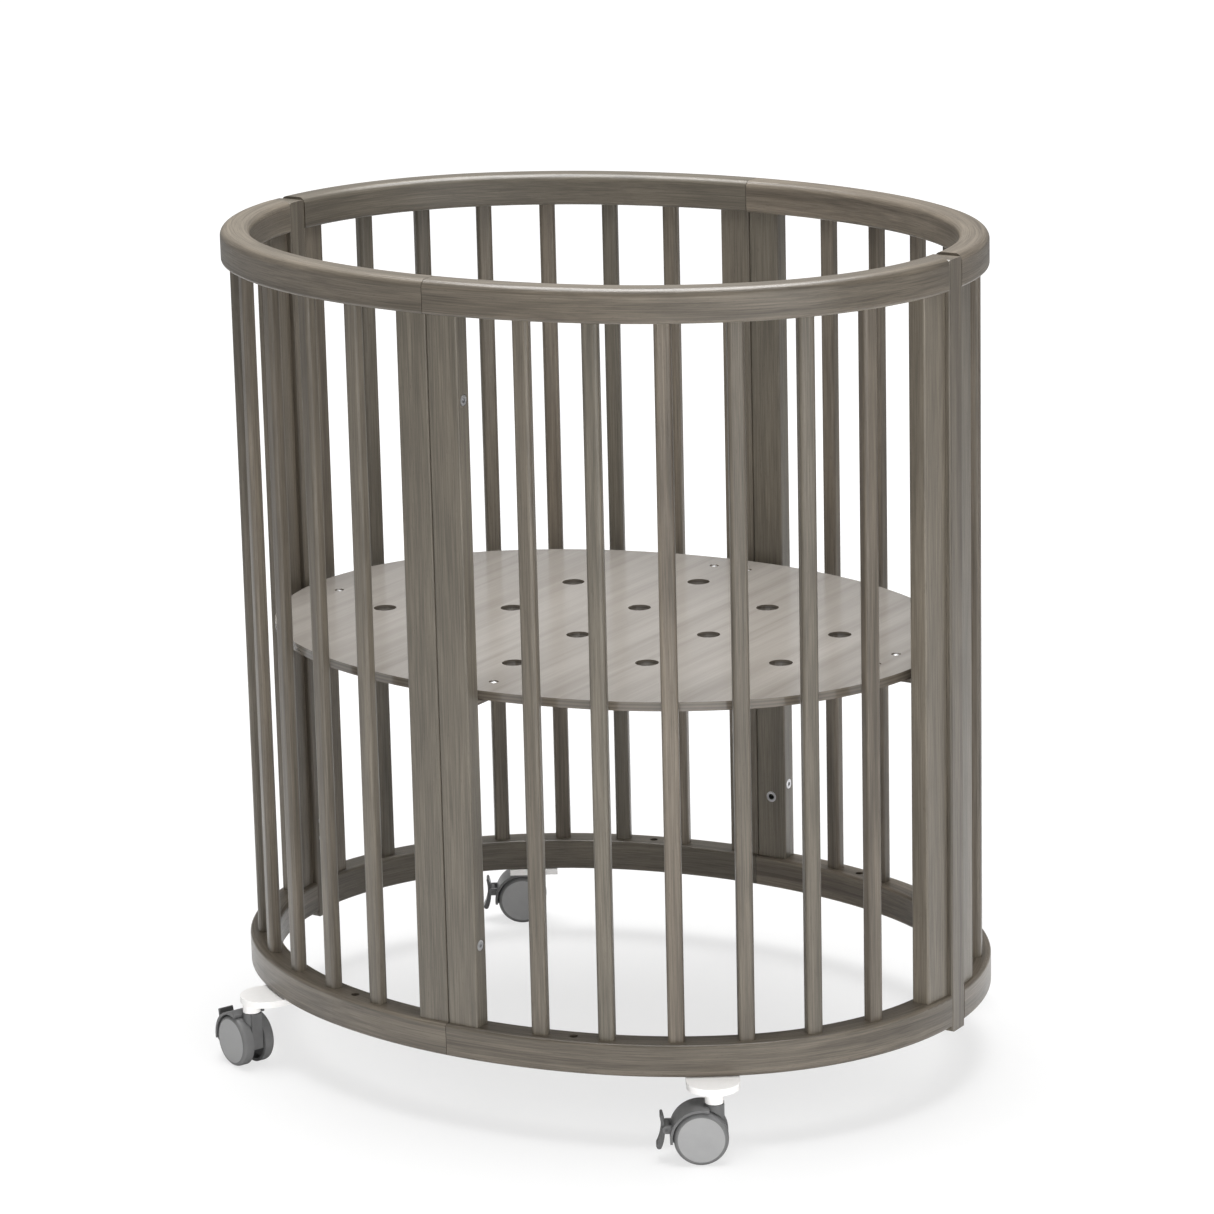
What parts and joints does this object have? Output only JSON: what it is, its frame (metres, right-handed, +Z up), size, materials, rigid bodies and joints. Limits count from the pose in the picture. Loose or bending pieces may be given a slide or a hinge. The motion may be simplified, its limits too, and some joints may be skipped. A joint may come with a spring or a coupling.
{
  "type": "baby crib",
  "caption": "Oval slatted wooden baby crib with a perforated sleeping deck on steel brackets and braked twin-wheel swivel casters.",
  "frame": {"origin": "on the floor, under the middle of the oval", "axes": "+Z up, X along the long axis of the oval, Y along the short axis; the front is -Y and the right end is +X"},
  "size_m": [0.75, 0.6, 0.797],
  "materials": {
    "top_rail_wood": "satin grey-brown stain, grain along the rail",
    "bottom_rail_wood": "satin grey-brown stain, grain along the rail",
    "slat_wood": "satin grey-brown stain, grain along the slat",
    "stile_wood": "satin grey-brown stain, grain along the stile",
    "post_wood": "satin grey-brown stain, grain along the post",
    "dowel_wood": "plain beech",
    "connector_steel": "bright zinc",
    "sleeve_steel": "bright zinc",
    "deck_wood": "pale grey stained board, satin",
    "bracket_steel": "zinc plated sheet",
    "deck_screw_steel": "bright zinc",
    "bracket_bolt_steel": "bright zinc",
    "insert_steel": "bright zinc",
    "plate_plastic": "moulded white",
    "plate_screw_steel": "bright zinc",
    "stem_steel": "bright zinc",
    "hood_plastic": "moulded grey",
    "axle_steel": "plain steel",
    "wheel_plastic": "moulded grey tread",
    "cap_plastic": "moulded light grey",
    "lever_plastic": "moulded grey"
  },
  "bodies": {
    "crib": {"top_rail_front_right": "top_rail_wood", "top_rail_front_left": "top_rail_wood", "top_rail_back_left": "top_rail_wood", "top_rail_back_right": "top_rail_wood", "bottom_rail_front_right": "bottom_rail_wood", "bottom_rail_front_left": "bottom_rail_wood", "bottom_rail_back_left": "bottom_rail_wood", "bottom_rail_back_right": "bottom_rail_wood", "slats_front_right": "slat_wood", "slats_front_left": "slat_wood", "slats_back_left": "slat_wood", "slats_back_right": "slat_wood", "stiles_front_right": "stile_wood", "stiles_front_left": "stile_wood", "stiles_back_left": "stile_wood", "stiles_back_right": "stile_wood", "joint_post_right": "post_wood", "joint_post_left": "post_wood", "joint_dowels": "dowel_wood", "connector_bolts": "connector_steel", "connector_sleeves": "sleeve_steel", "deck_board": "deck_wood", "deck_brackets": "bracket_steel", "deck_screws": "deck_screw_steel", "bracket_bolts": "bracket_bolt_steel", "threaded_inserts": "insert_steel", "caster_plate_front_right": "plate_plastic", "caster_plate_front_left": "plate_plastic", "caster_plate_back_left": "plate_plastic", "caster_plate_back_right": "plate_plastic", "caster_plate_screws": "plate_screw_steel", "caster_stems": "stem_steel"},
    "caster_front_right": {"caster_hood_front_right": "hood_plastic", "caster_axle_front_right": "axle_steel"},
    "rolling_wheel_front_right_1": {"wheel_front_right_1": "wheel_plastic", "wheel_cap_front_right_1": "cap_plastic"},
    "rolling_wheel_front_right_2": {"wheel_front_right_2": "wheel_plastic", "wheel_cap_front_right_2": "cap_plastic"},
    "brake_front_right": {"brake_lever_front_right": "lever_plastic"},
    "caster_front_left": {"caster_hood_front_left": "hood_plastic", "caster_axle_front_left": "axle_steel"},
    "rolling_wheel_front_left_1": {"wheel_front_left_1": "wheel_plastic", "wheel_cap_front_left_1": "cap_plastic"},
    "rolling_wheel_front_left_2": {"wheel_front_left_2": "wheel_plastic", "wheel_cap_front_left_2": "cap_plastic"},
    "brake_front_left": {"brake_lever_front_left": "lever_plastic"},
    "caster_back_left": {"caster_hood_back_left": "hood_plastic", "caster_axle_back_left": "axle_steel"},
    "rolling_wheel_back_left_1": {"wheel_back_left_1": "wheel_plastic", "wheel_cap_back_left_1": "cap_plastic"},
    "rolling_wheel_back_left_2": {"wheel_back_left_2": "wheel_plastic", "wheel_cap_back_left_2": "cap_plastic"},
    "brake_back_left": {"brake_lever_back_left": "lever_plastic"},
    "caster_back_right": {"caster_hood_back_right": "hood_plastic", "caster_axle_back_right": "axle_steel"},
    "rolling_wheel_back_right_1": {"wheel_back_right_1": "wheel_plastic", "wheel_cap_back_right_1": "cap_plastic"},
    "rolling_wheel_back_right_2": {"wheel_back_right_2": "wheel_plastic", "wheel_cap_back_right_2": "cap_plastic"},
    "brake_back_right": {"brake_lever_back_right": "lever_plastic"}
  },
  "joints": [
    {"name": "caster_swivel_front_right", "type": "hinge", "parent": "crib", "child": "caster_front_right", "pos_m": [0.25753, -0.25135, 0.06], "axis": [0, 0, 1], "continuous": true},
    {"name": "wheel_roll_front_right_1", "type": "hinge", "parent": "caster_front_right", "child": "rolling_wheel_front_right_1", "pos_m": [0.24693, -0.25798, 0.025], "axis": [0.5299, -0.848, 0], "continuous": true},
    {"name": "wheel_roll_front_right_2", "type": "hinge", "parent": "caster_front_right", "child": "rolling_wheel_front_right_2", "pos_m": [0.24693, -0.25798, 0.025], "axis": [0.5299, -0.848, 0], "continuous": true},
    {"name": "brake_press_front_right", "type": "hinge", "parent": "caster_front_right", "child": "brake_front_right", "pos_m": [0.2203, -0.27462, 0.033], "axis": [0.5299, -0.848, 0], "range_deg": [0, 12]},
    {"name": "caster_swivel_front_left", "type": "hinge", "parent": "crib", "child": "caster_front_left", "pos_m": [-0.25753, -0.25135, 0.06], "axis": [0, 0, 1], "continuous": true},
    {"name": "wheel_roll_front_left_1", "type": "hinge", "parent": "caster_front_left", "child": "rolling_wheel_front_left_1", "pos_m": [-0.26912, -0.24667, 0.025], "axis": [-0.3746, -0.9272, 0], "continuous": true},
    {"name": "wheel_roll_front_left_2", "type": "hinge", "parent": "caster_front_left", "child": "rolling_wheel_front_left_2", "pos_m": [-0.26912, -0.24667, 0.025], "axis": [-0.3746, -0.9272, 0], "continuous": true},
    {"name": "brake_press_front_left", "type": "hinge", "parent": "caster_front_left", "child": "brake_front_left", "pos_m": [-0.29823, -0.23491, 0.033], "axis": [-0.3746, -0.9272, 0], "range_deg": [0, 12]},
    {"name": "caster_swivel_back_left", "type": "hinge", "parent": "crib", "child": "caster_back_left", "pos_m": [-0.25753, 0.25135, 0.06], "axis": [0, 0, 1], "continuous": true},
    {"name": "wheel_roll_back_left_1", "type": "hinge", "parent": "caster_back_left", "child": "rolling_wheel_back_left_1", "pos_m": [-0.26813, 0.24473, 0.025], "axis": [0.5299, -0.848, 0], "continuous": true},
    {"name": "wheel_roll_back_left_2", "type": "hinge", "parent": "caster_back_left", "child": "rolling_wheel_back_left_2", "pos_m": [-0.26813, 0.24473, 0.025], "axis": [0.5299, -0.848, 0], "continuous": true},
    {"name": "brake_press_back_left", "type": "hinge", "parent": "caster_back_left", "child": "brake_back_left", "pos_m": [-0.29476, 0.22809, 0.033], "axis": [0.5299, -0.848, 0], "range_deg": [0, 12]},
    {"name": "caster_swivel_back_right", "type": "hinge", "parent": "crib", "child": "caster_back_right", "pos_m": [0.25753, 0.25135, 0.06], "axis": [0, 0, 1], "continuous": true},
    {"name": "wheel_roll_back_right_1", "type": "hinge", "parent": "caster_back_right", "child": "rolling_wheel_back_right_1", "pos_m": [0.24693, 0.24473, 0.025], "axis": [0.5299, -0.848, 0], "continuous": true},
    {"name": "wheel_roll_back_right_2", "type": "hinge", "parent": "caster_back_right", "child": "rolling_wheel_back_right_2", "pos_m": [0.24693, 0.24473, 0.025], "axis": [0.5299, -0.848, 0], "continuous": true},
    {"name": "brake_press_back_right", "type": "hinge", "parent": "caster_back_right", "child": "brake_back_right", "pos_m": [0.2203, 0.22809, 0.033], "axis": [0.5299, -0.848, 0], "range_deg": [0, 12]}
  ]
}
